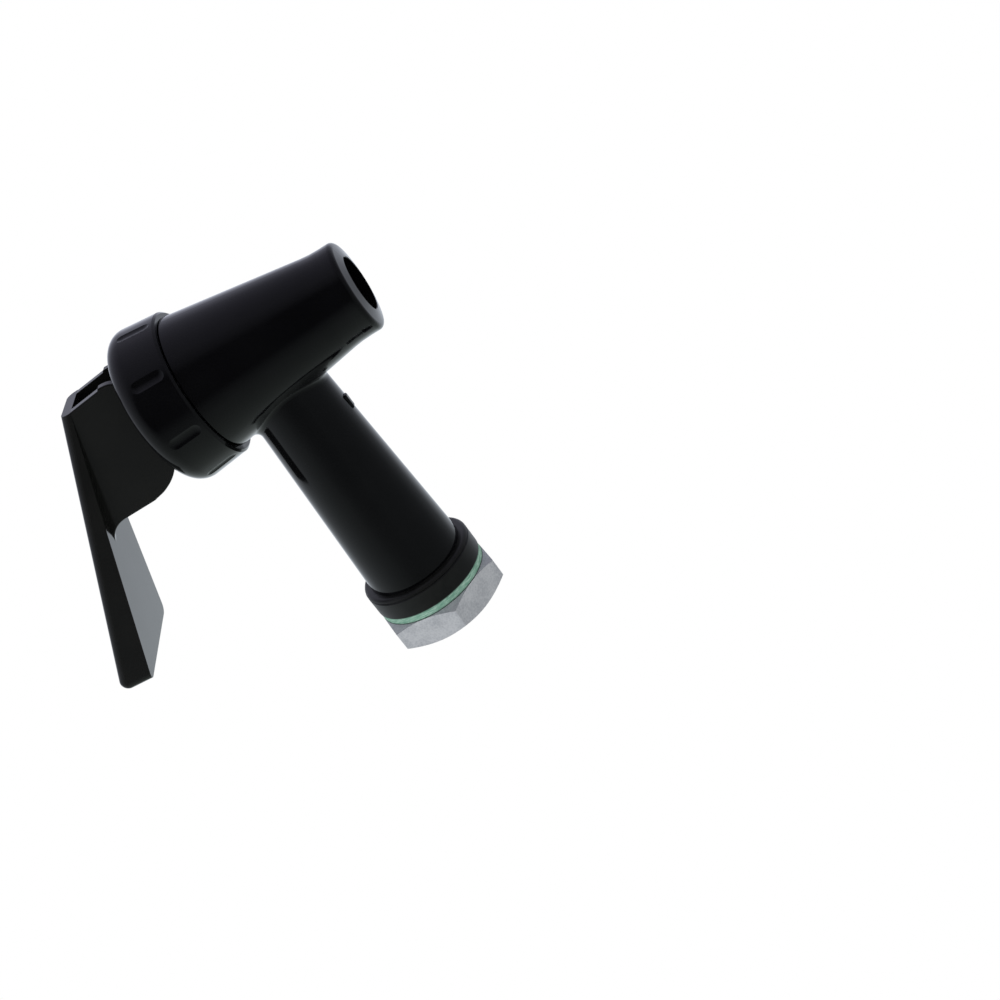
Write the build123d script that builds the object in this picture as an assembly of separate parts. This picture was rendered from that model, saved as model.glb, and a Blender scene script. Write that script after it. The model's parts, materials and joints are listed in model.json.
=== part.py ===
"""Beverage dispensing faucet: moulded body with a tapered shank, fluted bonnet, cam lever and nut."""
import math
import os

from build123d import *

os.makedirs("parts", exist_ok=True)

# Frame, mm: the origin is on the shank axis, in the gasket's sealing face; +Y runs into the tank, +Z is up.
AXIS_REACH = 70.2        # sealing face to the vertical body axis

# Body, heights from the shank axis and radii from the body axis
OUTLET_DROP = 28.3
OUTLET_BORE_R = 6.5
OUTLET_DEPTH = 14.8      # wide bore up to the step below the seat
OUTLET_BREAK = 0.2
SPOUT_WALL = 4.25
SPOUT_LENGTH = 6.4       # straight stretch with the lip
SPOUT_BLEND = 28.0       # curve from the spout into the cone
LIP_RISE = 0.8           # lip's outer edge above the bore's edge
LIP_ROUND = 1.2
NECK_WALL = 3.1          # outside the chamber
SHOULDER_STEP = 0.85
SHOULDER_Z = 13.0
NECK_LENGTH = 7.5
EDGE_BREAK = 0.5
SUMP_DEPTH = 1.5         # chamber floor below the inlet bore
SEAT_HEIGHT = 1.0
SEAT_LIP = 0.8           # seat bore inside the outlet bore
SEAT_LAND = 1.9          # cup nose outside the outlet bore
SEAT_STEP = 0.3
MOAT_WIDTH = 2.2
CHAMBER_DRAFT = 1.5

# Shank, lengths along Y and radii from the shank axis
INLET_BORE_R = 6.5
INLET_STEP = 0.4         # narrower bore near the chamber
INLET_STEP_PLACE = 20.0  # from the body axis
TAIL_WALL = 2.7          # up to the middle of the thread
TAIL_LENGTH = 10.2       # beyond the sealing face
SHANK_SHOULDER = 3.4
SHANK_TAPER = 0.0492     # radius lost per millimetre toward the body
ROOT_FILLET = 1.6
GATE_OFFSET = 21.8       # gate vestige from the body axis
GATE_LENGTH = 3.75
GATE_HEIGHT = 0.5
GATE_WIDTH = 2.0
GATE_ROUND = 0.45

# Stem, seat cup and return spring
STEM_R = 3.8
STEM_NECK_R = 2.7
STEM_HEAD = 4.0          # above the pin axis
STEM_DOME = 1.4
BUTTON_R = 4.4
BUTTON_THICK = 2.4
NOSE_FLOOR = 2.8         # rubber under the button
NECK_HOLD = 3.2          # rubber between button and collar
COLLAR_THICK = 1.6
COLLAR_GAP = 0.3
CUP_WALL = 1.2
CUP_CLEARANCE = 1.2
CUP_PLUG = 1.5           # nose below the seat
PLUG_TIP_R = 3.0
PLUG_GAP = 0.3
BELL_FOOT = 0.8          # bell widens from this height above the collar's foot
FLANGE_INSET = 1.6
FLANGE_THICK = 1.9
SPRING_WIRE_R = 0.55
SPRING_INSET = 0.65      # coil inside the collar's edge
SPRING_TURNS = 6
SPRING_WIRE_SIDES = 8    # round wire, drawn with few faces

# Bonnet
THREAD_GAP = 0.05
BONNET_GAP = 0.2         # above the body's shoulder
BONNET_WALL = 2.35
BONNET_TAPER = 0.11      # radius gained per millimetre of height
BONNET_ROUND = 4.2
FLANGE_GAP = 0.2
SPRING_POCKET_GAP = 0.55
SPRING_POCKET_DEPTH = 2.2
BONNET_ROOF = 2.2
STEM_GAP = 0.06
FLUTE_COUNT = 8
FLUTE_CUTTER_R = 3.3
FLUTE_DEPTH = 0.36
FLUTE_START = 2.3        # lower end's centre above the bonnet's edge
FLUTE_LENGTH = 4.9
FLUTE_TURN = -7.5        # degrees

# Lever, y from the body axis and z up; the feet rest on the bonnet
FOOT_GAP = 0.04
PIN_HEIGHT = 6.6         # pin axis above the feet
CAM_LIFT = 5.8           # stem lift per radian of lever tilt
CAM_STEPS = 12
PIN_R = 1.5
PIN_BREAK = 0.25
PIN_GAP = 0.05
PIN_END_GAP = 0.15
SOCKET_DEPTH = 1.25
SNAP_PINCH = 0.3
CHEEK_GAP = 0.2
CHEEK_WALL = 2.0
CHEEK_ROUND = 0.3
PLATE_HEIGHT = 6.1       # plate's underside above the pin axis at the toe
PLATE_ROOT = 2.75        # plate thickness at the toe
FRONT_ANGLE = 26.1
BACK_ANGLE = 21.25
TOE_REACH = 11.8
TOE_FLARE = 0.75
LOBE_STEP = 0.45
LOBE_HEIGHT = 4.4
LOBE_RUN = 3.4
HEEL_FILLET = 6.0
PADDLE_REACH = 49.7
PADDLE_HALF = 15.3
END_LEAN = 0.6
PADDLE_CORNER = 1.7
PADDLE_ROUND = 2.0

# Clamping pieces on the tail
GASKET_FLOOR = 3.0
GASKET_SKIRT = 2.85
GASKET_WALL = 1.8
GASKET_ROUND = 1.0
GASKET_BEAD = 1.1        # rim length before the groove
GASKET_GROOVE = 0.3
WASHER_GAP = 0.55        # clears the thread's crests
WASHER_WIDTH = 4.5
WASHER_THICK = 2.05
NUT_GAP = 0.35           # clears the thread's crests
NUT_WALL = 4.75
NUT_HEIGHT = 7.25
NUT_TURN = -16.4         # degrees
NUT_CHAMFER_ANGLE = 30
NUT_EDGE = 0.5
NUT_LEAD = 0.6

# Places worked out from the sizes above
AXIS_Y = -AXIS_REACH
AXIS = Axis((0, AXIS_Y, 0), (0, 0, 1))
BODY_PLANE = Plane(origin=(0, AXIS_Y, 0), x_dir=(1, 0, 0), z_dir=(0, -1, 0))
SHANK_PLANE = Plane(origin=(0, 0, 0), x_dir=(0, 1, 0), z_dir=(1, 0, 0))
LEVER_PLANE = Plane(origin=(0, AXIS_Y, 0), x_dir=(0, 1, 0), z_dir=(1, 0, 0))

outlet_z = -OUTLET_DROP
spout_r = OUTLET_BORE_R + SPOUT_WALL
spout_top_z = outlet_z + SPOUT_LENGTH
chamber_floor_z = -INLET_BORE_R - SUMP_DEPTH
seat_z = chamber_floor_z + SEAT_HEIGHT
seat_bore_r = OUTLET_BORE_R - SEAT_LIP
outlet_step_z = outlet_z + OUTLET_DEPTH
cup_nose_r = OUTLET_BORE_R + SEAT_LAND
seat_out_r = cup_nose_r + SEAT_STEP
chamber_low_r = seat_out_r + MOAT_WIDTH
chamber_top_r = chamber_low_r + CHAMBER_DRAFT
neck_r = chamber_top_r + NECK_WALL
shoulder_r = neck_r + SHOULDER_STEP
neck_top_z = SHOULDER_Z + NECK_LENGTH

tail_r = INLET_BORE_R + TAIL_WALL
shank_end_y = -GASKET_FLOOR
shank_end_r = tail_r + SHANK_SHOULDER

flange_top_z = neck_top_z + FLANGE_THICK
flange_r = neck_r - FLANGE_INSET
pocket_z = flange_top_z + SPRING_POCKET_DEPTH
bonnet_top_z = pocket_z + BONNET_ROOF
bonnet_low_z = SHOULDER_Z + BONNET_GAP
bonnet_low_r = neck_r + BONNET_WALL

button_low_z = seat_z + NOSE_FLOOR
button_top_z = button_low_z + BUTTON_THICK
collar_low_z = button_top_z + NECK_HOLD
collar_top_z = collar_low_z + COLLAR_THICK
cup_inner_r = cup_nose_r - CUP_WALL
collar_r = cup_inner_r - COLLAR_GAP
spring_mean_r = collar_r - SPRING_INSET - SPRING_WIRE_R

foot_z = bonnet_top_z + FOOT_GAP
pin_z = foot_z + PIN_HEIGHT
cheek_in = STEM_R + CHEEK_GAP
cheek_out = cheek_in + CHEEK_WALL


def turned(points):
    """Solid of revolution about the body axis from (radius, height) points."""
    return revolve(BODY_PLANE * make_face(Polyline(points, close=True)), AXIS)


def turned_shank(points):
    """Solid of revolution about the shank axis from (length, radius) points."""
    return revolve(SHANK_PLANE * make_face(Polyline(points, close=True)), Axis.Y)


def shank_radius(y):
    return shank_end_r + SHANK_TAPER * (y - shank_end_y)


def circles(solid, axis):
    """Circular edges of a turned solid, in order along an axis."""
    return solid.edges().filter_by(GeomType.CIRCLE).sort_by(axis)


def save(solid, name):
    solid.label = name
    export_step(solid, "parts/" + name + ".step")


# Body: spout, cone and shank in one moulding; the cone runs past the shoulder until the root is filleted
run_out_z = SHOULDER_Z + NECK_LENGTH
cone_slope = (shoulder_r - spout_r) / (SHOULDER_Z - spout_top_z)
run_out_r = shoulder_r + cone_slope * (run_out_z - SHOULDER_Z)
barrel = turned([(0, outlet_z), (OUTLET_BORE_R, outlet_z), (spout_r, outlet_z + LIP_RISE),
                 (spout_r, spout_top_z), (run_out_r, run_out_z), (0, run_out_z)])
barrel = fillet(circles(barrel, Axis.Z)[2], SPOUT_BLEND)
barrel = fillet(circles(barrel, Axis.Z)[1], LIP_ROUND)
shank = turned_shank([(AXIS_Y, 0), (AXIS_Y, shank_radius(AXIS_Y)), (shank_end_y, shank_end_r),
                      (shank_end_y, 0)])
outer = barrel + shank
root_edges = outer.edges().filter_by(GeomType.BSPLINE)
root_edges = root_edges.filter_by(lambda e: AXIS_Y < e.center().Y < shank_end_y)
outer = fillet(root_edges, ROOT_FILLET)
trim_r = run_out_r + SHOULDER_STEP
outer -= turned([(0, SHOULDER_Z), (trim_r, SHOULDER_Z), (trim_r, run_out_z), (0, run_out_z)])
gate_y = AXIS_Y + GATE_OFFSET
gate = Box(GATE_WIDTH, GATE_LENGTH, 2 * GATE_HEIGHT)
gate = fillet(gate.edges() - gate.faces().sort_by(Axis.Z)[-1].edges(), GATE_ROUND)
gate = Pos(0, gate_y, -shank_radius(gate_y)) * gate
neck = turned([(0, 0), (chamber_top_r, 0), (neck_r, SHOULDER_Z), (neck_r, neck_top_z - EDGE_BREAK),
               (neck_r - EDGE_BREAK, neck_top_z), (0, neck_top_z)])
tail_root_y = shank_end_y - TAIL_WALL
tail = turned_shank([(tail_root_y, 0), (tail_root_y, tail_r), (TAIL_LENGTH - EDGE_BREAK, tail_r),
                     (TAIL_LENGTH, tail_r - EDGE_BREAK), (TAIL_LENGTH, 0)])
chamber = turned([(0, chamber_floor_z), (chamber_low_r, chamber_floor_z), (chamber_top_r, neck_top_z),
                  (0, neck_top_z)])
inlet_step_y = AXIS_Y + INLET_STEP_PLACE
inlet_low_r = INLET_BORE_R - INLET_STEP
inlet = turned_shank([(AXIS_Y, 0), (AXIS_Y, inlet_low_r), (inlet_step_y, inlet_low_r),
                      (inlet_step_y, INLET_BORE_R), (TAIL_LENGTH, INLET_BORE_R), (TAIL_LENGTH, 0)])
seat_ring = turned([(0, chamber_floor_z), (seat_out_r + SEAT_STEP, chamber_floor_z), (seat_out_r, seat_z),
                    (0, seat_z)])
outlet = turned([(0, outlet_z), (OUTLET_BORE_R + OUTLET_BREAK, outlet_z),
                 (OUTLET_BORE_R, outlet_z + OUTLET_BREAK), (OUTLET_BORE_R, outlet_step_z),
                 (seat_bore_r, outlet_step_z), (seat_bore_r, seat_z), (0, seat_z)])
body = outer + gate + neck + tail - chamber - inlet + seat_ring - outlet
save(body, "faucet_body")

# Bonnet: fluted cap nut with a flat top for the lever's feet
bonnet_high_r = bonnet_low_r + BONNET_TAPER * (bonnet_top_z - bonnet_low_z)
cap = turned([(0, bonnet_low_z), (bonnet_low_r - EDGE_BREAK, bonnet_low_z),
              (bonnet_low_r, bonnet_low_z + EDGE_BREAK), (bonnet_high_r, bonnet_top_z), (0, bonnet_top_z)])
cap = fillet(circles(cap, Axis.Z)[-1], BONNET_ROUND)
thread_r = neck_r + THREAD_GAP
recess_r = flange_r + FLANGE_GAP
pocket_r = spring_mean_r + SPRING_WIRE_R + SPRING_POCKET_GAP
stem_hole_r = STEM_R + STEM_GAP
hollow = turned([(0, bonnet_low_z), (thread_r, bonnet_low_z), (thread_r, neck_top_z), (recess_r, neck_top_z),
                 (recess_r, flange_top_z), (pocket_r, flange_top_z), (pocket_r, pocket_z),
                 (stem_hole_r, pocket_z), (stem_hole_r, bonnet_top_z), (0, bonnet_top_z)])
bonnet = cap - hollow
flute_at = bonnet_low_r + BONNET_TAPER * FLUTE_START - FLUTE_DEPTH + FLUTE_CUTTER_R
flute_lean = math.degrees(math.atan(BONNET_TAPER))
flute = Pos(0, 0, FLUTE_LENGTH / 2) * Cylinder(FLUTE_CUTTER_R, FLUTE_LENGTH)
flute += Sphere(FLUTE_CUTTER_R)
flute += Pos(0, 0, FLUTE_LENGTH) * Sphere(FLUTE_CUTTER_R)
flute = Pos(flute_at, 0, bonnet_low_z + FLUTE_START) * Rot(0, flute_lean, 0) * flute
for n in range(FLUTE_COUNT):
    bonnet -= Pos(0, AXIS_Y, 0) * Rot(0, 0, FLUTE_TURN + 360 / FLUTE_COUNT * n) * flute
save(bonnet, "bonnet")

# Seat cup: clamped flange, thin bell and a solid nose on the seat
bell_top_r = chamber_top_r - CUP_CLEARANCE
bell_foot_z = collar_low_z + BELL_FOOT
bell_in_r = bell_top_r - CUP_WALL
plug_z = seat_z - CUP_PLUG
cup_outer = turned([(0, plug_z), (PLUG_TIP_R, plug_z), (seat_bore_r - PLUG_GAP, seat_z), (cup_nose_r, seat_z),
                    (cup_nose_r, bell_foot_z), (bell_top_r, neck_top_z), (flange_r, neck_top_z),
                    (flange_r, flange_top_z), (0, flange_top_z)])
cup_inner = turned([(0, button_low_z), (BUTTON_R, button_low_z), (BUTTON_R, button_top_z),
                    (STEM_NECK_R, button_top_z), (STEM_NECK_R, collar_low_z), (cup_inner_r, collar_low_z),
                    (cup_inner_r, bell_foot_z), (bell_in_r, neck_top_z), (bell_in_r, flange_top_z),
                    (0, flange_top_z)])
save(cup_outer - cup_inner, "seat_cup")

# Stem: button in the cup's nose, spring collar, round shaft and a chamfered head drilled for the pin
stem_top_z = pin_z + STEM_HEAD
stem = turned([(0, button_low_z), (BUTTON_R, button_low_z), (BUTTON_R, button_top_z),
               (STEM_NECK_R, button_top_z), (STEM_NECK_R, collar_low_z), (collar_r, collar_low_z),
               (collar_r, collar_top_z), (STEM_R, collar_top_z), (STEM_R, stem_top_z - STEM_DOME),
               (STEM_R - STEM_DOME, stem_top_z), (0, stem_top_z)])
pin_place = Pos(0, AXIS_Y, pin_z) * Rot(0, 90, 0)
save(stem - pin_place * Cylinder(PIN_R, 2 * cheek_out), "valve_stem")

# Pin pressed through the stem's head
pin_half = cheek_in + SOCKET_DEPTH - PIN_END_GAP
save(pin_place * chamfer(Cylinder(PIN_R, 2 * pin_half).edges(), PIN_BREAK), "lever_pin")

# Return spring between the stem's collar and the bonnet
coil_height = pocket_z - collar_top_z - 2 * SPRING_WIRE_R
helix = Helix(pitch=coil_height / SPRING_TURNS, height=coil_height, radius=spring_mean_r)
wire = Plane(origin=helix @ 0, z_dir=helix % 0) * RegularPolygon(SPRING_WIRE_R, SPRING_WIRE_SIDES)
coil = sweep(wire, path=helix, is_frenet=True)
save(Pos(0, AXIS_Y, collar_top_z + SPRING_WIRE_R) * coil, "return_spring")


# Lever: wedge plate, two cheeks with a flat foot, and an involute cam corner that lifts the stem evenly
def cam_point(tilt):
    """Cheek outline point that touches the bonnet at a tilt; the reach is from the pin to the bonnet."""
    reach = PIN_HEIGHT + CAM_LIFT * tilt
    y = reach * math.sin(tilt) + CAM_LIFT * math.cos(tilt)
    z = -reach * math.cos(tilt) + CAM_LIFT * math.sin(tilt)
    return (y, pin_z + z)


def back_z(y):
    return pin_z + PLATE_HEIGHT + math.tan(math.radians(BACK_ANGLE)) * (y + TOE_REACH)


def front_z(y):
    return pin_z + PLATE_HEIGHT + PLATE_ROOT + math.tan(math.radians(FRONT_ANGLE)) * (y + TOE_REACH)


def middle_z(y):
    return (front_z(y) + back_z(y)) / 2


cam = [cam_point(math.pi / 2 * n / CAM_STEPS) for n in range(CAM_STEPS + 1)]
heel_y = cam[-1][0]
heel_run = HEEL_FILLET / math.tan(math.radians(45 + BACK_ANGLE / 2))
web_y = heel_y + heel_run * math.cos(math.radians(BACK_ANGLE))
heel_top = (heel_y, back_z(heel_y) - heel_run)
web_end = (web_y, back_z(web_y))
toe_low = (-TOE_REACH - TOE_FLARE, foot_z + LOBE_HEIGHT + LOBE_STEP)
lobe_top = (toe_low[0] - LOBE_STEP, foot_z + LOBE_HEIGHT)
lobe_low = (lobe_top[0] + LOBE_RUN, foot_z)
cheek_lines = [Spline(cam, tangents=[(1, 0), (0, 1)]),
               Line(cam[-1], heel_top),
               TangentArc(heel_top, web_end, tangent=(0, 1)),
               Polyline(web_end, (web_y, middle_z(web_y)), (-TOE_REACH, middle_z(-TOE_REACH)),
                        (-TOE_REACH, back_z(-TOE_REACH)), toe_low, lobe_top),
               Spline([lobe_top, lobe_low], tangents=[(0, -1), (1, 0)]),
               Line(lobe_low, cam[0])]
cheek_face = LEVER_PLANE * make_face(Curve() + cheek_lines)
cheeks = extrude(cheek_face, cheek_out, both=True)
cheeks = fillet(cheeks.edges().filter_by(lambda e: abs(e.center().X) > cheek_in), CHEEK_ROUND)
cheeks -= Pos(0, AXIS_Y, pin_z) * Box(2 * cheek_in, 2 * PADDLE_REACH, 2 * PADDLE_REACH)
paddle_front_y = PADDLE_REACH - END_LEAN
side_points = [(-TOE_REACH, front_z(-TOE_REACH)), (paddle_front_y, front_z(paddle_front_y)),
               (PADDLE_REACH, back_z(PADDLE_REACH)), (-TOE_REACH, back_z(-TOE_REACH))]
plate = extrude(LEVER_PLANE * make_face(Polyline(side_points, close=True)), PADDLE_HALF, both=True)
plan_points = [(-cheek_out, -TOE_REACH), (-PADDLE_HALF, PADDLE_REACH), (PADDLE_HALF, PADDLE_REACH),
               (cheek_out, -TOE_REACH)]
plan = Pos(0, AXIS_Y, pin_z) * make_face(Polyline(plan_points, close=True))
plate &= extrude(plan, front_z(PADDLE_REACH) - pin_z)
end_edges = plate.edges().filter_by(lambda e: e.center().Y > AXIS_Y + paddle_front_y - END_LEAN)
plate = fillet(end_edges.filter_by(lambda e: abs(e.center().X) > cheek_out), PADDLE_CORNER)
front_face = max(plate.faces(), key=lambda f: f.normal_at().Z)
front_edges = front_face.edges().filter_by(lambda e: e.center().Y > AXIS_Y - TOE_REACH + END_LEAN)
plate = fillet(front_edges, PADDLE_ROUND)
socket_half = cheek_in + SOCKET_DEPTH
sockets = pin_place * Cylinder(PIN_R + PIN_GAP, 2 * socket_half)
snap = Pos(0, AXIS_Y, pin_z - PIN_HEIGHT / 2) * Box(2 * socket_half, 2 * PIN_R - SNAP_PINCH, PIN_HEIGHT)
save(plate + cheeks - sockets - snap, "lever_handle")

# Gasket: rubber cup over the shank's end
gasket_r = shank_end_r + GASKET_WALL
rim_y = shank_end_y - GASKET_SKIRT
groove_y = rim_y + GASKET_BEAD
gasket = turned_shank([(rim_y, 0), (rim_y, gasket_r), (0, gasket_r), (0, 0)])
gasket = fillet(circles(gasket, Axis.Y)[0], GASKET_ROUND)
gasket -= turned_shank([(rim_y, 0), (rim_y, shank_radius(rim_y)), (shank_end_y, shank_end_r),
                        (shank_end_y, tail_r), (0, tail_r), (0, 0)])
gasket -= turned_shank([(groove_y, gasket_r - GASKET_GROOVE), (groove_y - GASKET_GROOVE, gasket_r),
                        (groove_y + GASKET_GROOVE, gasket_r)])
save(gasket, "shank_gasket")

# Fibre washer
hole_r = tail_r + WASHER_GAP
washer_r = hole_r + WASHER_WIDTH
washer = turned_shank([(0, hole_r), (0, washer_r), (WASHER_THICK, washer_r), (WASHER_THICK, hole_r)])
save(washer, "fibre_washer")

# Nut: hexagon with soft corners, chamfered at both ends
nut_y = WASHER_THICK
nut_end = nut_y + NUT_HEIGHT
nut_bore_r = tail_r + NUT_GAP
flat_r = nut_bore_r + NUT_WALL
corner_r = flat_r / math.cos(math.pi / 6)
chamfer_depth = (corner_r - flat_r) * math.tan(math.radians(NUT_CHAMFER_ANGLE))
nut_plane = Plane(origin=(0, nut_y, 0), x_dir=(1, 0, 0), z_dir=(0, 1, 0))
nut = extrude(nut_plane * Rot(0, 0, NUT_TURN) * RegularPolygon(corner_r, 6), NUT_HEIGHT)
nut = fillet(nut.edges().filter_by(Axis.Y), NUT_EDGE)
nut &= turned_shank([(nut_y, 0), (nut_y, flat_r), (nut_y + chamfer_depth, corner_r),
                     (nut_end - chamfer_depth, corner_r), (nut_end, flat_r), (nut_end, 0)])
nut -= turned_shank([(nut_y, 0), (nut_y, nut_bore_r + NUT_LEAD), (nut_y + NUT_LEAD, nut_bore_r),
                     (nut_end - NUT_LEAD, nut_bore_r), (nut_end, nut_bore_r + NUT_LEAD), (nut_end, 0)])
save(nut, "mounting_nut")
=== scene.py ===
"""Looks of a beverage dispensing faucet.

Gives each piece its finish, adds the threads, the spring's coil and the seat cup, and sets a white studio.
"""

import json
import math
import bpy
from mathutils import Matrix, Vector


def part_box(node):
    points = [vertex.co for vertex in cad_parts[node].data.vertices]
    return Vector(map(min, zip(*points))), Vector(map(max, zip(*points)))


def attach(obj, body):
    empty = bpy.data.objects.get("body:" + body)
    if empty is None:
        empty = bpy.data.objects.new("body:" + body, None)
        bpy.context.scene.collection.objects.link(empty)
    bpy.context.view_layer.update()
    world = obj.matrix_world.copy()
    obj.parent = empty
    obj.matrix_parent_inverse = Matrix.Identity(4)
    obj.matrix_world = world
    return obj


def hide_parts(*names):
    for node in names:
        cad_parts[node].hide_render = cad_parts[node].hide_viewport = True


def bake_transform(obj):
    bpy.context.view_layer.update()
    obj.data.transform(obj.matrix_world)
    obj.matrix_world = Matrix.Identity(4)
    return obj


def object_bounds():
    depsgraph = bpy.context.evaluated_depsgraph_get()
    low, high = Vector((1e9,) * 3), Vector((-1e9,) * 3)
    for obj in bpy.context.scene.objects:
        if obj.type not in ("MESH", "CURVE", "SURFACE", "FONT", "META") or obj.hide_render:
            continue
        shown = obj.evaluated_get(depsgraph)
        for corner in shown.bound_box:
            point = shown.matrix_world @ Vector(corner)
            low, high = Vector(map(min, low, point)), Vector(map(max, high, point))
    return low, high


bl_info = {
    "name": "Beverage Faucet",
    "version": (1, 0, 0),
    "blender": (4, 5, 0),
    "location": "View3D > Sidebar > Faucet",
    "description": "Finishes the pieces of a beverage dispensing faucet and stages it",
    "category": "Object",
}

import bmesh
import bpy
from bpy.props import FloatProperty, FloatVectorProperty, IntProperty, PointerProperty
from mathutils import Quaternion, Vector

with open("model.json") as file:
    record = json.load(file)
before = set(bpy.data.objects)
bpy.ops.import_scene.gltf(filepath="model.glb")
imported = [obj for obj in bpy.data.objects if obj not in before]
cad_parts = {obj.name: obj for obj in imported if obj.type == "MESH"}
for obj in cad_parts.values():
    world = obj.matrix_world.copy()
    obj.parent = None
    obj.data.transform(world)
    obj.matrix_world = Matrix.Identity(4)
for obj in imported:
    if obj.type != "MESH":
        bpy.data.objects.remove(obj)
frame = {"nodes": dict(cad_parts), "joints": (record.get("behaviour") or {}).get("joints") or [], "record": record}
cad_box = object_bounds()

MM = 0.001
NODES = frame["nodes"]
JOINTS = {joint["name"]: joint for joint in frame["joints"]}
RATIOS = {coupling["joint"]: coupling["ratio"] for coupling in frame["record"]["behaviour"]["couplings"]}
PITCH = RATIOS["nut_travel"] * 2 * math.pi
BODY_AXIS = Vector(JOINTS["lever_swivel"]["pos_m"]) * Vector((1, 1, 0))

# Edges that turn by more than this stay crisp
SHARP_ANGLE = math.radians(35)

# Points of a CAD mesh that are closer than this are one
WELD_GAP = 0.001 * MM

WIRE_SIDES = 12
FLOOR_SIDES = 96

# Sockets of a Mix node by number, because those for numbers and for colours share their names
FACTOR = 0
NUMBER_A = 2
NUMBER_B = 3
NUMBER_OUT = 0
COLOUR_A = 6
COLOUR_B = 7
COLOUR_OUT = 2

# Roughness of each acetal moulding where it is cleanest, and what its haze adds
BODY_GLOSS = 0.05
BONNET_GLOSS = 0.06
LEVER_GLOSS = 0.1
HAZE_DULLING = 0.07

# Radians by which the bands of a wave texture turn over one unit
WAVE_RADIANS = 20

# Brightness of the room in reflections, by degrees from its dark end behind the camera
ROOM_LEVELS = ((26, 0.025), (37, 0.11), (52, 0.2), (75, 0.27), (112, 0.37), (138, 0.6), (155, 1.0))

# Shares of the floor's radius between which it fades to white
FADE_START = 0.35
FADE_END = 0.95

WHITE = (1, 1, 1, 1)
NEAR_CLIP = 10 * MM


def linear(hex_colour):
    """Linear colour of an sRGB hex value."""
    values = [int(hex_colour[place:place + 2], 16) / 255 for place in (1, 3, 5)]
    return [v / 12.92 if v <= 0.04045 else ((v + 0.055) / 1.055) ** 2.4 for v in values] + [1.0]


def colour_property(name, description, hex_colour):
    """Colour setting with an sRGB hex value as its default."""
    return FloatVectorProperty(name=name, description=description, subtype="COLOR", size=4, min=0, max=1,
                               default=linear(hex_colour))


def length_property(name, description, default):
    """Length setting in metres, shown to a hundredth of a millimetre."""
    return FloatProperty(name=name, description=description, default=default, precision=5, unit="LENGTH")


def angle_property(name, description, degrees):
    """Angle setting with its default in degrees."""
    return FloatProperty(name=name, description=description, default=math.radians(degrees), subtype="ANGLE")


def place_property(name, description, default):
    """Setting of a point in the part's frame."""
    return FloatVectorProperty(name=name, description=description, default=default, subtype="TRANSLATION")


class FaucetColours(bpy.types.PropertyGroup):
    """Colours of the finishes"""
    plastic: colour_property("Plastic", "Black of the moulded body and bonnet", "#030304")
    plastic_haze: colour_property("Plastic haze", "Paler black where the moulding cooled last", "#08080a")
    lever: colour_property("Lever", "Slightly paler black of the lever", "#0d0d0d")
    lever_haze: colour_property("Lever haze", "Rubbed black on the lever's flat sides", "#151514")
    stem: colour_property("Stem", "Black of the turned valve stem", "#141416")
    rubber: colour_property("Rubber", "Black of the shank gasket", "#0c0d0d")
    rubber_bloom: colour_property("Rubber bloom", "Grey bloom on the gasket", "#171817")
    fibre: colour_property("Fibre", "Sea green of the washer", "#689783")
    fibre_pale: colour_property("Fibre strands", "Pale strands in the washer", "#a8c8b9")
    # Painted shade: a darker green laid on the washer's outer corners, where shade falls in the gaps against the
    # gasket and the nut
    fibre_shade_green: colour_property("Fibre edge", "Dark green along the washer's cut edges", "#20362e")
    zinc: colour_property("Zinc", "Grey of the nut's plating", "#b5b9c0")
    zinc_pale: colour_property("Zinc bloom", "Pale crystals in the nut's plating", "#d2d5da")
    steel: colour_property("Steel", "Bright steel of the pin and the spring", "#b9babd")
    silicone: colour_property("Silicone", "Milky white of the seat cup", "#d6d3c9")


class FaucetSizes(bpy.types.PropertyGroup):
    """Sizes of the pieces that are added to the model"""
    thread_height: length_property("Thread height", "Crest of the tail's thread above the tail", 0.325 * MM)
    crest_width: length_property("Crest width", "Flat on top of the tail's thread", 0.2 * MM)
    flank_angle: angle_property("Flank angle", "Slope of each side of the threads", 30)
    thread_steps: IntProperty(name="Thread steps", description="Faces along one turn of a thread", default=72)
    thread_end: length_property("Thread end", "Plain stretch between a thread and its piece's end", 0.6 * MM)
    wire_radius: length_property("Spring wire", "Radius of the return spring's wire", 0.55 * MM)
    spring_turns: IntProperty(name="Spring turns", description="Turns of the return spring", default=6)


class FaucetStudio(bpy.types.PropertyGroup):
    """Camera, light and floor"""
    camera_place: place_property("Camera", "Place of the camera", (-0.32503, -0.17713, -0.09381))
    camera_aim: place_property("Aim", "Point in the middle of the picture", (-0.00261, -0.00889, -0.02566))
    camera_roll: angle_property("Roll", "Turn of the camera about its own line of sight", -120.33)
    focal_length: FloatProperty(name="Focal length", description="Lens of the camera in millimetres",
                                default=57.5)
    floor_drop: length_property("Floor drop", "Floor below the middle of the shank", 0.3)
    floor_radius: length_property("Floor radius", "Reach of the floor", 0.45)
    surround: FloatProperty(name="Surround", description="Even light from the whole studio", default=0.8)
    dark_heading: angle_property("Dark end", "Heading of the dark end of the room", 202)
    room_lean: FloatProperty(name="Room lean", default=0.48,
                             description="How much brighter the room is above than at eye level")
    front_tint: colour_property("Front tint", "Blue white of the room in front of the lever", "#e2e1fb")
    tank_tint: colour_property("Tank tint", "Green white of the room on the tank's side", "#e0eee8")
    key_place: place_property("Key lamp", "Place of the large soft lamp", (-0.3, -0.1, 0.55))
    key_size: length_property("Key size", "Width of the large soft lamp", 0.6)
    key_power: FloatProperty(name="Key power", description="Power of the large soft lamp", default=1.3,
                             unit="POWER")


def add(tree, kind, inputs=(), **settings):
    """Adds a shader node: settings are its attributes, inputs are constants or the sockets that feed it."""
    made = tree.nodes.new("ShaderNode" + kind)
    for name, value in settings.items():
        setattr(made, name, value)
    for name, value in dict(inputs).items():
        if isinstance(value, bpy.types.NodeSocket):
            tree.links.new(value, made.inputs[name])
        else:
            made.inputs[name].default_value = value
    return made


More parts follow.
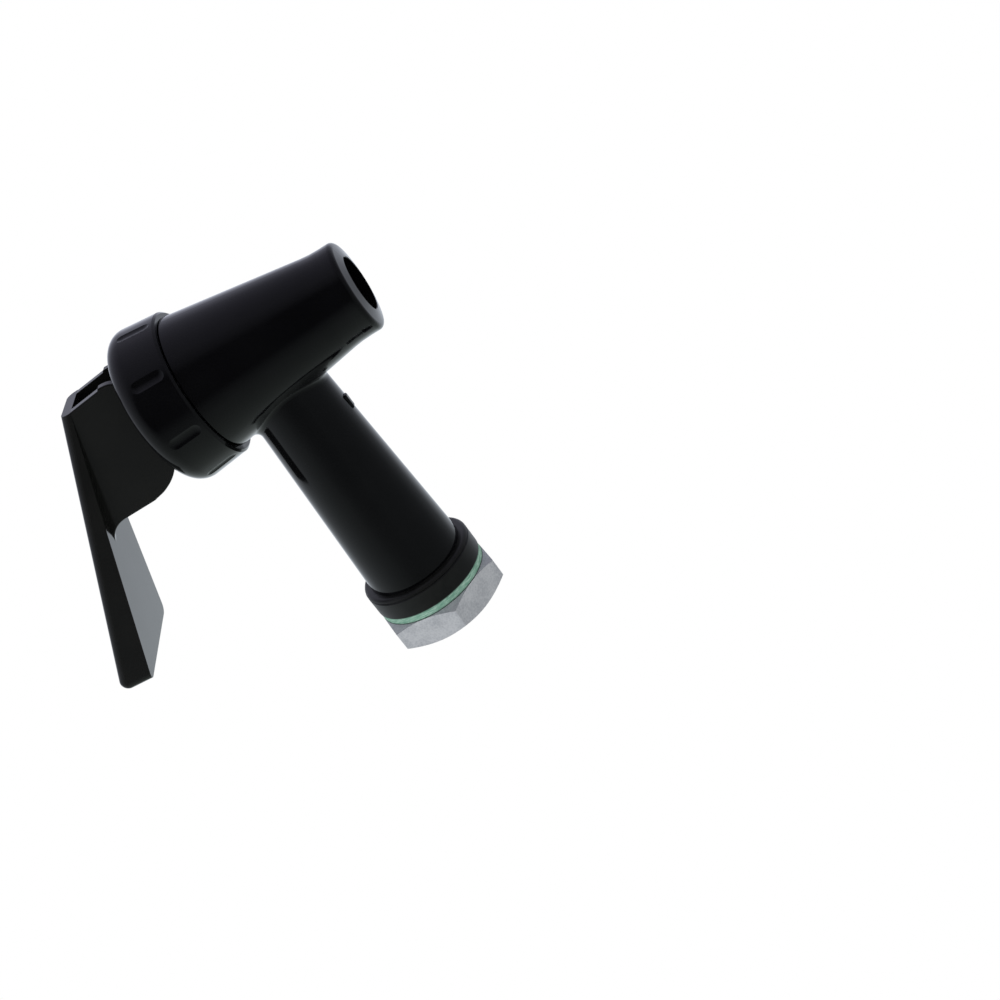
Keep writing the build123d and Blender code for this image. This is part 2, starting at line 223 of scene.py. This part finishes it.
def start_material(name):
    """New material with its node tree, its shader and its object coordinates."""
    material = bpy.data.materials.new(name)
    material.use_nodes = True
    tree = material.node_tree
    shader = tree.nodes["Principled BSDF"]
    place = add(tree, "TexCoord").outputs["Object"]
    return material, tree, shader, place


def per_metre(millimetres):
    """Texture scale whose pattern repeats about once in a real size."""
    return 1 / (millimetres * MM)


def moulded_black_plastic(name, black, haze_black, gloss, parting_line):
    """Polished acetal moulding: a deep black with a wet gloss, faint flow haze and a slightly uneven skin."""
    material, tree, shader, place = start_material(name)
    haze = add(tree, "TexNoise", {"Vector": place, "Scale": per_metre(9), "Detail": 3.0, "Roughness": 0.55})
    colour = add(tree, "Mix", {FACTOR: haze.outputs["Fac"], COLOUR_A: list(black),
                               COLOUR_B: list(haze_black)}, data_type="RGBA")
    polish = add(tree, "MapRange", {"Value": haze.outputs["Fac"], "From Min": 0.3, "From Max": 0.7,
                                    "To Min": gloss, "To Max": gloss + HAZE_DULLING})
    ripple = add(tree, "TexNoise", {"Vector": place, "Scale": per_metre(6), "Detail": 1.0})
    grain = add(tree, "TexNoise", {"Vector": place, "Scale": per_metre(0.25), "Detail": 2.0})
    skin = add(tree, "Bump", {"Height": ripple.outputs["Fac"], "Strength": 0.2, "Distance": 0.02 * MM})
    skin = add(tree, "Bump", {"Height": grain.outputs["Fac"], "Strength": 0.12, "Distance": 0.004 * MM,
                              "Normal": skin.outputs["Normal"]})
    if parting_line:
        across = add(tree, "SeparateXYZ", {"Vector": place})
        off_line = add(tree, "Math", {0: across.outputs["X"]}, operation="ABSOLUTE")
        line = add(tree, "MapRange", {"Value": off_line.outputs["Value"], "From Max": 0.4 * MM, "To Min": 1.0,
                                      "To Max": 0.0}, interpolation_type="SMOOTHSTEP")
        skin = add(tree, "Bump", {"Height": line.outputs["Result"], "Strength": 0.5, "Distance": 0.02 * MM,
                                  "Normal": skin.outputs["Normal"]})
    tree.links.new(colour.outputs[COLOUR_OUT], shader.inputs["Base Color"])
    tree.links.new(polish.outputs["Result"], shader.inputs["Roughness"])
    tree.links.new(skin.outputs["Normal"], shader.inputs["Normal"])
    shader.inputs["IOR"].default_value = 1.48
    return material


def nitrile_rubber(colours):
    """Moulded nitrile rubber: a soft black with a dull bloom and a fine open grain."""
    material, tree, shader, place = start_material("nitrile_rubber")
    bloom = add(tree, "TexNoise", {"Vector": place, "Scale": per_metre(4), "Detail": 5.0, "Roughness": 0.6})
    patches = add(tree, "MapRange", {"Value": bloom.outputs["Fac"], "From Min": 0.45, "From Max": 0.75})
    black = add(tree, "Mix", {FACTOR: patches.outputs["Result"], COLOUR_A: list(colours.rubber),
                              COLOUR_B: list(colours.rubber_bloom)}, data_type="RGBA")
    dullness = add(tree, "MapRange", {"Value": bloom.outputs["Fac"], "To Min": 0.32, "To Max": 0.5})
    grain = add(tree, "TexNoise", {"Vector": place, "Scale": per_metre(0.3), "Detail": 3.0})
    skin = add(tree, "Bump", {"Height": grain.outputs["Fac"], "Strength": 0.3, "Distance": 0.03 * MM})
    tree.links.new(black.outputs[COLOUR_OUT], shader.inputs["Base Color"])
    tree.links.new(dullness.outputs["Result"], shader.inputs["Roughness"])
    tree.links.new(skin.outputs["Normal"], shader.inputs["Normal"])
    shader.inputs["IOR"].default_value = 1.52
    return material


def vulcanised_fibre(colours):
    """Pressed fibre sheet: a chalky sea green with pale strands that lie in the sheet, and painted shade darkening
    its outer corners where it meets the gasket and the nut.
    """
    material, tree, shader, place = start_material("vulcanised_fibre")
    strand_flatness = 5.0
    flat = add(tree, "Mapping", {"Vector": place, "Scale": (1.0, strand_flatness, 1.0)})
    strands = add(tree, "TexNoise", {"Vector": flat.outputs["Vector"], "Scale": per_metre(1.6), "Detail": 6.0,
                                     "Roughness": 0.65})
    pale = add(tree, "MapRange", {"Value": strands.outputs["Fac"], "From Min": 0.42, "From Max": 0.68})
    green = add(tree, "Mix", {FACTOR: pale.outputs["Result"], COLOUR_A: list(colours.fibre),
                              COLOUR_B: list(colours.fibre_pale)}, data_type="RGBA")
    low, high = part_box("fibre_washer")
    middle_y = (low.y + high.y) / 2
    half_thick = (high.y - low.y) / 2
    rim_r = (high.x - low.x) / 2
    # Painted shade: the green darkens towards the washer's outer corners, in the gaps against the gasket and the
    # nut
    unshaded_depth = 0.42 * MM
    deepest_shade_depth = 0.1 * MM
    along = add(tree, "SeparateXYZ", {"Vector": place})
    from_middle = add(tree, "Math", {0: along.outputs["Y"], 1: middle_y}, operation="SUBTRACT")
    to_face = add(tree, "Math", {0: from_middle.outputs["Value"]}, operation="ABSOLUTE")
    near_face = add(tree, "MapRange", {"Value": to_face.outputs["Value"],
                                       "From Min": half_thick - unshaded_depth,
                                       "From Max": half_thick - deepest_shade_depth})
    across = add(tree, "VectorMath", {0: place, 1: (1, 0, 1)}, operation="MULTIPLY")
    from_axis = add(tree, "VectorMath", {0: across.outputs["Vector"]}, operation="LENGTH")
    near_rim = add(tree, "MapRange", {"Value": from_axis.outputs["Value"], "From Min": rim_r - unshaded_depth,
                                      "From Max": rim_r - deepest_shade_depth})
    # Share of painted shade, where a point is near both a face and the rim
    gap_shade_share = add(tree, "Math", {0: near_face.outputs["Result"], 1: near_rim.outputs["Result"]},
                 operation="MULTIPLY")
    green = add(tree, "Mix", {FACTOR: gap_shade_share.outputs["Value"], COLOUR_A: green.outputs[COLOUR_OUT],
                              COLOUR_B: list(colours.fibre_shade_green)}, data_type="RGBA")
    skin = add(tree, "Bump", {"Height": strands.outputs["Fac"], "Strength": 0.35, "Distance": 0.06 * MM})
    tree.links.new(green.outputs[COLOUR_OUT], shader.inputs["Base Color"])
    tree.links.new(skin.outputs["Normal"], shader.inputs["Normal"])
    shader.inputs["Roughness"].default_value = 0.7
    return material


def zinc_plated_steel(colours):
    """Dull zinc plating on a forged nut: a pale cool grey, more metallic on the nut's turned ends.

    It is mottled by crystals, drawn coarser than real ones so that they show.
    """
    material, tree, shader, place = start_material("zinc_plated_steel")
    facing = add(tree, "SeparateXYZ", {"Vector": add(tree, "TexCoord").outputs["Normal"]})
    endwise = add(tree, "Math", {0: facing.outputs["Y"]}, operation="ABSOLUTE")
    metal = add(tree, "MapRange", {"Value": endwise.outputs["Value"], "From Min": 0.2, "From Max": 0.45,
                                   "To Min": 0.4, "To Max": 0.7})
    cloud = add(tree, "TexNoise", {"Vector": place, "Scale": per_metre(5), "Detail": 4.0, "Roughness": 0.6})
    crystal = add(tree, "TexVoronoi", {"Vector": place, "Scale": per_metre(0.5)})
    crystal_share = 0.3
    mottle = add(tree, "Mix", {FACTOR: crystal_share, NUMBER_A: cloud.outputs["Fac"],
                               NUMBER_B: crystal.outputs["Distance"]})
    pale = add(tree, "MapRange", {"Value": mottle.outputs[NUMBER_OUT], "From Min": 0.32, "From Max": 0.62})
    grey = add(tree, "Mix", {FACTOR: pale.outputs["Result"], COLOUR_A: list(colours.zinc),
                             COLOUR_B: list(colours.zinc_pale)}, data_type="RGBA")
    dullness = add(tree, "MapRange", {"Value": pale.outputs["Result"], "To Min": 0.48, "To Max": 0.66})
    tooth = add(tree, "TexNoise", {"Vector": place, "Scale": per_metre(0.3), "Detail": 3.0})
    skin = add(tree, "Bump", {"Height": tooth.outputs["Fac"], "Strength": 0.4, "Distance": 0.04 * MM})
    tree.links.new(grey.outputs[COLOUR_OUT], shader.inputs["Base Color"])
    tree.links.new(dullness.outputs["Result"], shader.inputs["Roughness"])
    tree.links.new(skin.outputs["Normal"], shader.inputs["Normal"])
    tree.links.new(metal.outputs["Result"], shader.inputs["Metallic"])
    return material


def bright_steel(colours):
    """Ground and drawn steel: bright, with fine lines along the pin."""
    material, tree, shader, place = start_material("bright_steel")
    line_stretch = 10
    drawn = add(tree, "Mapping", {"Vector": place, "Scale": (1 / line_stretch, 1.0, 1.0)})
    lines = add(tree, "TexNoise", {"Vector": drawn.outputs["Vector"], "Scale": per_metre(0.2), "Detail": 3.0})
    sheen = add(tree, "MapRange", {"Value": lines.outputs["Fac"], "To Min": 0.18, "To Max": 0.36})
    tree.links.new(sheen.outputs["Result"], shader.inputs["Roughness"])
    shader.inputs["Base Color"].default_value = list(colours.steel)
    shader.inputs["Metallic"].default_value = 1.0
    return material


def turned_nylon(colours):
    """Turned nylon bar: a satin black with tool marks round the stem.

    The marks are drawn coarser than real ones so that they show.
    """
    material, tree, shader, place = start_material("turned_nylon")
    rings = add(tree, "TexWave", {"Vector": place, "Scale": per_metre(0.7) * 2 * math.pi / WAVE_RADIANS,
                                  "Distortion": 0.4}, bands_direction="Z")
    skin = add(tree, "Bump", {"Height": rings.outputs["Fac"], "Strength": 0.2, "Distance": 0.01 * MM})
    sheen = add(tree, "MapRange", {"Value": rings.outputs["Fac"], "To Min": 0.36, "To Max": 0.46})
    tree.links.new(sheen.outputs["Result"], shader.inputs["Roughness"])
    tree.links.new(skin.outputs["Normal"], shader.inputs["Normal"])
    shader.inputs["Base Color"].default_value = list(colours.stem)
    return material


def milky_silicone(colours):
    """Moulded silicone: milky, soft and faintly see-through at its thin lip."""
    material, tree, shader, place = start_material("milky_silicone")
    cloud = add(tree, "TexNoise", {"Vector": place, "Scale": per_metre(6), "Detail": 2.0})
    dullness = add(tree, "MapRange", {"Value": cloud.outputs["Fac"], "To Min": 0.4, "To Max": 0.55})
    tree.links.new(dullness.outputs["Result"], shader.inputs["Roughness"])
    shader.inputs["Base Color"].default_value = list(colours.silicone)
    shader.inputs["Subsurface Weight"].default_value = 0.3
    shader.inputs["Subsurface Radius"].default_value = (1.5 * MM, 1.3 * MM, 1.1 * MM)
    shader.inputs["IOR"].default_value = 1.41
    return material


def finish_node(name, material):
    """Gives a CAD node its finish."""
    NODES[name].material_slots[0].material = material


def make_piece(name, bm, material):
    """Object from a finished bmesh, with its place in its mesh."""
    mesh = bpy.data.meshes.new(name)
    bm.to_mesh(mesh)
    bm.free()
    mesh.shade_smooth()
    mesh.set_sharp_from_angle(angle=SHARP_ANGLE)
    mesh.materials.append(material)
    piece = bpy.data.objects.new(name, mesh)
    bpy.context.scene.collection.objects.link(piece)
    return piece


def shank_reach(node, low_y, high_y, pick):
    """Radius about the shank axis that pick, min or max, finds in a slice of a node."""
    points = [v.co for v in NODES[node].data.vertices if low_y <= v.co.y <= high_y]
    return pick(math.hypot(p.x, p.z) for p in points)


def flank_run(sizes):
    """Length along the shank that one side of a thread takes up."""
    return sizes.thread_height * math.tan(sizes.flank_angle)


def thread_ridge(root_r, crest_r, root_width, crest_width, first_y, last_y, sizes):
    """Right-handed ridge round the shank axis that rises out of its surface over half a turn at each end."""
    turns = (last_y - first_y) / PITCH
    steps = round(sizes.thread_steps * turns)
    run_in = PITCH / 2
    profile = [(-root_width / 2, root_r), (-crest_width / 2, crest_r), (crest_width / 2, crest_r),
               (root_width / 2, root_r)]
    bm = bmesh.new()
    corners = [bm.verts.new((0, first_y + along, radius)) for along, radius in profile]
    sides = [bm.edges.new((corners[n - 1], corners[n])) for n in range(len(corners))]
    bmesh.ops.spin(bm, geom=corners + sides, cent=(0, 0, 0), axis=(0, 1, 0),
                   dvec=(0, turns * PITCH / steps, 0), angle=2 * math.pi * turns, steps=steps,
                   use_merge=False)
    bmesh.ops.holes_fill(bm, edges=[e for e in bm.edges if e.is_boundary], sides=0)
    for vertex in bm.verts:
        radius = math.hypot(vertex.co.x, vertex.co.z)
        from_end = min(vertex.co.y - first_y, last_y - vertex.co.y)
        rise = min(1, max(0, from_end / run_in))
        scale = (root_r + (radius - root_r) * rise) / radius
        vertex.co.x *= scale
        vertex.co.z *= scale
    bmesh.ops.recalc_face_normals(bm, faces=bm.faces)
    return bm


def seen_straight(tree):
    """Socket that is 1 for what the camera sees, also through a clear piece, and 0 for other rays."""
    rays = add(tree, "LightPath").outputs
    seen = add(tree, "Math", {0: rays["Is Camera Ray"], 1: rays["Is Transmission Ray"]}, operation="MAXIMUM")
    return seen.outputs["Value"]


class FaucetOperator:
    """What the operators share"""
    bl_options = {"REGISTER", "UNDO"}


class FAUCET_OT_mouldings(FaucetOperator, bpy.types.Operator):
    """Finish the moulded body, bonnet and lever"""
    bl_idname = "faucet.mouldings"
    bl_label = "Mouldings"

    def execute(self, context):
        colours = context.scene.faucet_colours
        parted = moulded_black_plastic("polished_acetal_parted", colours.plastic, colours.plastic_haze,
                                       BODY_GLOSS, True)
        plain = moulded_black_plastic("polished_acetal", colours.plastic, colours.plastic_haze,
                                      BONNET_GLOSS, False)
        satin = moulded_black_plastic("satin_acetal", colours.lever, colours.lever_haze, LEVER_GLOSS, False)
        finish_node("faucet_body", parted)
        finish_node("bonnet", plain)
        finish_node("lever_handle", satin)
        return {"FINISHED"}


class FAUCET_OT_tail_thread(FaucetOperator, bpy.types.Operator):
    """Wind the moulded thread round the body's tail"""
    bl_idname = "faucet.tail_thread"
    bl_label = "Tail thread"

    def execute(self, context):
        sizes = context.scene.faucet_sizes
        tail_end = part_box("faucet_body")[1].y
        seat_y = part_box("shank_gasket")[1].y
        tail_r = shank_reach("faucet_body", seat_y, tail_end, max)
        crest_r = tail_r + sizes.thread_height
        root_width = sizes.crest_width + 2 * flank_run(sizes)
        first_y = seat_y + root_width
        last_y = tail_end - sizes.thread_end - root_width / 2
        bm = thread_ridge(tail_r, crest_r, root_width, sizes.crest_width, first_y, last_y, sizes)
        thread = make_piece("tail_thread", bm, bpy.data.materials["polished_acetal"])
        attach(thread, "body")
        context.scene["tail_thread_first_y"] = first_y
        return {"FINISHED"}


class FAUCET_OT_gasket(FaucetOperator, bpy.types.Operator):
    """Finish the rubber gasket"""
    bl_idname = "faucet.gasket"
    bl_label = "Gasket"

    def execute(self, context):
        finish_node("shank_gasket", nitrile_rubber(context.scene.faucet_colours))
        return {"FINISHED"}


class FAUCET_OT_washer(FaucetOperator, bpy.types.Operator):
    """Finish the fibre washer"""
    bl_idname = "faucet.washer"
    bl_label = "Washer"

    def execute(self, context):
        finish_node("fibre_washer", vulcanised_fibre(context.scene.faucet_colours))
        return {"FINISHED"}


class FAUCET_OT_nut(FaucetOperator, bpy.types.Operator):
    """Finish the nut and cut its thread, whose ridges stand in the grooves of the tail's thread"""
    bl_idname = "faucet.nut"
    bl_label = "Nut"

    def execute(self, context):
        sizes = context.scene.faucet_sizes
        plating = zinc_plated_steel(context.scene.faucet_colours)
        finish_node("mounting_nut", plating)
        low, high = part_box("mounting_nut")
        bore_r = shank_reach("mounting_nut", low.y, high.y, min)
        crest_r = bore_r - sizes.thread_height
        crest_width = PITCH / 2 - flank_run(sizes)
        root_width = crest_width + 2 * flank_run(sizes)
        groove_y = context.scene["tail_thread_first_y"] + PITCH / 2
        first_y = low.y + sizes.thread_end + root_width / 2
        first_y = groove_y + math.ceil((first_y - groove_y) / PITCH) * PITCH
        last_y = high.y - sizes.thread_end - root_width / 2
        bm = thread_ridge(bore_r, crest_r, root_width, crest_width, first_y, last_y, sizes)
        thread = make_piece("nut_thread", bm, plating)
        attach(thread, "nut")
        return {"FINISHED"}


class FAUCET_OT_stem(FaucetOperator, bpy.types.Operator):
    """Finish the valve stem and its pin"""
    bl_idname = "faucet.stem"
    bl_label = "Stem and pin"

    def execute(self, context):
        colours = context.scene.faucet_colours
        finish_node("valve_stem", turned_nylon(colours))
        finish_node("lever_pin", bright_steel(colours))
        return {"FINISHED"}


class FAUCET_OT_spring(FaucetOperator, bpy.types.Operator):
    """Wind the return spring's coil in place of the CAD spring"""
    bl_idname = "faucet.spring"
    bl_label = "Return spring"

    def execute(self, context):
        sizes = context.scene.faucet_sizes
        low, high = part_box("return_spring")
        mean_r = (high.x - low.x) / 2 - sizes.wire_radius
        travel = high.z - low.z - 2 * sizes.wire_radius
        steps = sizes.thread_steps * sizes.spring_turns
        upright = Quaternion((1, 0, 0), math.pi / 2).to_matrix()
        first = BODY_AXIS + Vector((mean_r, 0, low.z + sizes.wire_radius))
        bm = bmesh.new()
        ring = bmesh.ops.create_circle(bm, segments=WIRE_SIDES, radius=sizes.wire_radius)["verts"]
        bmesh.ops.rotate(bm, verts=ring, cent=(0, 0, 0), matrix=upright)
        bmesh.ops.translate(bm, verts=ring, vec=first)
        bmesh.ops.spin(bm, geom=bm.verts[:] + bm.edges[:], cent=BODY_AXIS, axis=(0, 0, 1),
                       dvec=(0, 0, travel / steps), angle=2 * math.pi * sizes.spring_turns, steps=steps,
                       use_merge=False)
        bmesh.ops.holes_fill(bm, edges=[e for e in bm.edges if e.is_boundary], sides=0)
        bmesh.ops.recalc_face_normals(bm, faces=bm.faces)
        spring = make_piece("spring_coil", bm, bpy.data.materials["bright_steel"])
        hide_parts("return_spring")
        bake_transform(spring)
        return {"FINISHED"}


class FAUCET_OT_seat_cup(FaucetOperator, bpy.types.Operator):
    """Remake the seat cup as a welded copy of the CAD cup with its silicone finish"""
    bl_idname = "faucet.seat_cup"
    bl_label = "Seat cup"

    def execute(self, context):
        bm = bmesh.new()
        bm.from_mesh(NODES["seat_cup"].data)
        bmesh.ops.remove_doubles(bm, verts=bm.verts, dist=WELD_GAP)
        cup = make_piece("seat_cup_bell", bm, milky_silicone(context.scene.faucet_colours))
        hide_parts("seat_cup")
        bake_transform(cup)
        return {"FINISHED"}


class FAUCET_OT_studio(FaucetOperator, bpy.types.Operator):
    """Set the camera, the lamp, the white surround and the floor"""
    bl_idname = "faucet.studio"
    bl_label = "Studio"

    def execute(self, context):
        studio = context.scene.faucet_studio
        context.scene.view_settings.view_transform = "Standard"
        self.set_camera(context.scene, studio)
        self.set_surround(context.scene, studio)
        self.hang_lamp(context.scene, studio)
        self.lay_floor(context.scene, studio)
        return {"FINISHED"}

    def set_camera(self, scene, studio):
        """Camera at the photograph's viewing angle."""
        camera = bpy.data.objects.new("camera", bpy.data.cameras.new("camera"))
        scene.collection.objects.link(camera)
        sight = Vector(studio.camera_aim) - Vector(studio.camera_place)
        turn = sight.to_track_quat("-Z", "Y") @ Quaternion((0, 0, 1), studio.camera_roll)
        camera.location = studio.camera_place
        camera.rotation_euler = turn.to_euler()
        camera.data.lens = studio.focal_length
        camera.data.clip_start = NEAR_CLIP
        scene.camera = camera

    def reflected_room(self, tree, studio):
        """Room that the gloss mirrors: white behind the object, dark behind the camera, brighter above."""
        sight = add(tree, "TexCoord").outputs["Generated"]
        dark_end = (math.cos(studio.dark_heading), math.sin(studio.dark_heading), 0)
        toward = add(tree, "VectorMath", {0: sight, 1: dark_end}, operation="DOT_PRODUCT")
        away = add(tree, "MapRange", {"Value": toward.outputs["Value"], "From Min": 1.0, "From Max": -1.0})
        ramp = add(tree, "ValToRGB", {"Fac": away.outputs["Result"]})
        points = ramp.color_ramp.elements
        while len(points) < len(ROOM_LEVELS):
            points.new(1)
        for point, (turn, level) in zip(points, ROOM_LEVELS):
            point.position = (1 - math.cos(math.radians(turn))) / 2
            point.color = (level, level, level, 1)
        front = (-math.sin(studio.dark_heading), math.cos(studio.dark_heading), 0)
        across = add(tree, "VectorMath", {0: sight, 1: front}, operation="DOT_PRODUCT")
        side = add(tree, "MapRange", {"Value": across.outputs["Value"], "From Min": -1.0, "From Max": 1.0})
        tint = add(tree, "Mix", {FACTOR: side.outputs["Result"], COLOUR_A: list(studio.tank_tint),
                                 COLOUR_B: list(studio.front_tint)}, data_type="RGBA")
        tinted = add(tree, "Mix", {FACTOR: 1.0, COLOUR_A: ramp.outputs["Color"],
                                   COLOUR_B: tint.outputs[COLOUR_OUT]},
                     data_type="RGBA", blend_type="MULTIPLY")
        height = add(tree, "SeparateXYZ", {"Vector": sight})
        lean = add(tree, "Math", {0: height.outputs["Z"], 1: studio.room_lean, 2: 1.0},
                   operation="MULTIPLY_ADD")
        return add(tree, "Background", {"Color": tinted.outputs[COLOUR_OUT],
                                        "Strength": lean.outputs["Value"]})

    def set_surround(self, scene, studio):
        """White for the camera, an even light on the object, and the room in its gloss."""
        world = bpy.data.worlds.new("studio")
        world.use_nodes = True
        scene.world = world
        tree = world.node_tree
        tree.nodes.clear()
        room = self.reflected_room(tree, studio)
        even = add(tree, "Background", {"Color": WHITE, "Strength": studio.surround})
        white = add(tree, "Background", {"Color": WHITE, "Strength": 1.0})
        glossy = add(tree, "LightPath").outputs["Is Glossy Ray"]
        lit = add(tree, "MixShader", {0: glossy, 1: even.outputs["Background"],
                                      2: room.outputs["Background"]})
        both = add(tree, "MixShader", {0: seen_straight(tree), 1: lit.outputs["Shader"],
                                       2: white.outputs["Background"]})
        add(tree, "OutputWorld", {"Surface": both.outputs["Shader"]})

    def hang_lamp(self, scene, studio):
        """Large soft lamp above the object that leaves no streak in the gloss."""
        middle = (Vector(cad_box[0]) + Vector(cad_box[1])) / 2
        lamp = bpy.data.lights.new("key_lamp", "AREA")
        lamp.shape = "DISK"
        lamp.size = studio.key_size
        lamp.energy = studio.key_power
        holder = bpy.data.objects.new("key_lamp", lamp)
        holder.location = studio.key_place
        holder.rotation_euler = (middle - holder.location).to_track_quat("-Z", "Y").to_euler()
        holder.visible_glossy = False
        scene.collection.objects.link(holder)

    def lay_floor(self, scene, studio):
        """Pale round floor below the object that keeps its shadow and fades to the white surround."""
        middle = Vector((0, BODY_AXIS.y / 2, -studio.floor_drop))
        bm = bmesh.new()
        bmesh.ops.create_circle(bm, cap_ends=True, segments=FLOOR_SIDES, radius=studio.floor_radius)
        bmesh.ops.translate(bm, verts=bm.verts, vec=middle)
        mesh = bpy.data.meshes.new("floor")
        bm.to_mesh(mesh)
        bm.free()
        floor = bpy.data.objects.new("floor", mesh)
        floor.visible_glossy = False
        scene.collection.objects.link(floor)
        material, tree, shader, place = start_material("pale_floor")
        mesh.materials.append(material)
        shader.inputs["Base Color"].default_value = linear("#f1f1ef")
        shader.inputs["Roughness"].default_value = 0.9
        from_middle = add(tree, "VectorMath", {0: place, 1: middle}, operation="DISTANCE")
        fade = add(tree, "MapRange", {"Value": from_middle.outputs["Value"],
                                      "From Min": studio.floor_radius * FADE_START,
                                      "From Max": studio.floor_radius * FADE_END},
                   interpolation_type="SMOOTHSTEP")
        share = add(tree, "Math", {0: fade.outputs["Result"], 1: seen_straight(tree)}, operation="MULTIPLY")
        white = add(tree, "Emission", {"Color": WHITE, "Strength": 1.0})
        both = add(tree, "MixShader", {0: share.outputs["Value"], 1: shader.outputs["BSDF"],
                                       2: white.outputs["Emission"]})
        tree.links.new(both.outputs["Shader"], tree.nodes["Material Output"].inputs["Surface"])


OPERATORS = (FAUCET_OT_mouldings, FAUCET_OT_tail_thread, FAUCET_OT_gasket, FAUCET_OT_washer, FAUCET_OT_nut,
             FAUCET_OT_stem, FAUCET_OT_spring, FAUCET_OT_seat_cup, FAUCET_OT_studio)


class FAUCET_PT_sidebar(bpy.types.Panel):
    """Sidebar panel with the settings and the steps"""
    bl_idname = "FAUCET_PT_sidebar"
    bl_label = "Faucet"
    bl_space_type = "VIEW_3D"
    bl_region_type = "UI"
    bl_category = "Faucet"

    def draw(self, context):
        for group in (context.scene.faucet_colours, context.scene.faucet_sizes, context.scene.faucet_studio):
            box = self.layout.box()
            for name in group.__annotations__:
                box.prop(group, name)
        for operator in OPERATORS:
            self.layout.operator(operator.bl_idname)


CLASSES = (FaucetColours, FaucetSizes, FaucetStudio, *OPERATORS, FAUCET_PT_sidebar)


def register():
    for made in CLASSES:
        bpy.utils.register_class(made)
    bpy.types.Scene.faucet_colours = PointerProperty(type=FaucetColours)
    bpy.types.Scene.faucet_sizes = PointerProperty(type=FaucetSizes)
    bpy.types.Scene.faucet_studio = PointerProperty(type=FaucetStudio)


def unregister():
    del bpy.types.Scene.faucet_studio
    del bpy.types.Scene.faucet_sizes
    del bpy.types.Scene.faucet_colours
    for made in reversed(CLASSES):
        bpy.utils.unregister_class(made)


def main():
    register()
    bpy.ops.faucet.mouldings()
    bpy.ops.faucet.tail_thread()
    bpy.ops.faucet.gasket()
    bpy.ops.faucet.washer()
    bpy.ops.faucet.nut()
    bpy.ops.faucet.stem()
    bpy.ops.faucet.spring()
    bpy.ops.faucet.seat_cup()
    bpy.ops.faucet.studio()


if __name__ == "__main__":
    main()
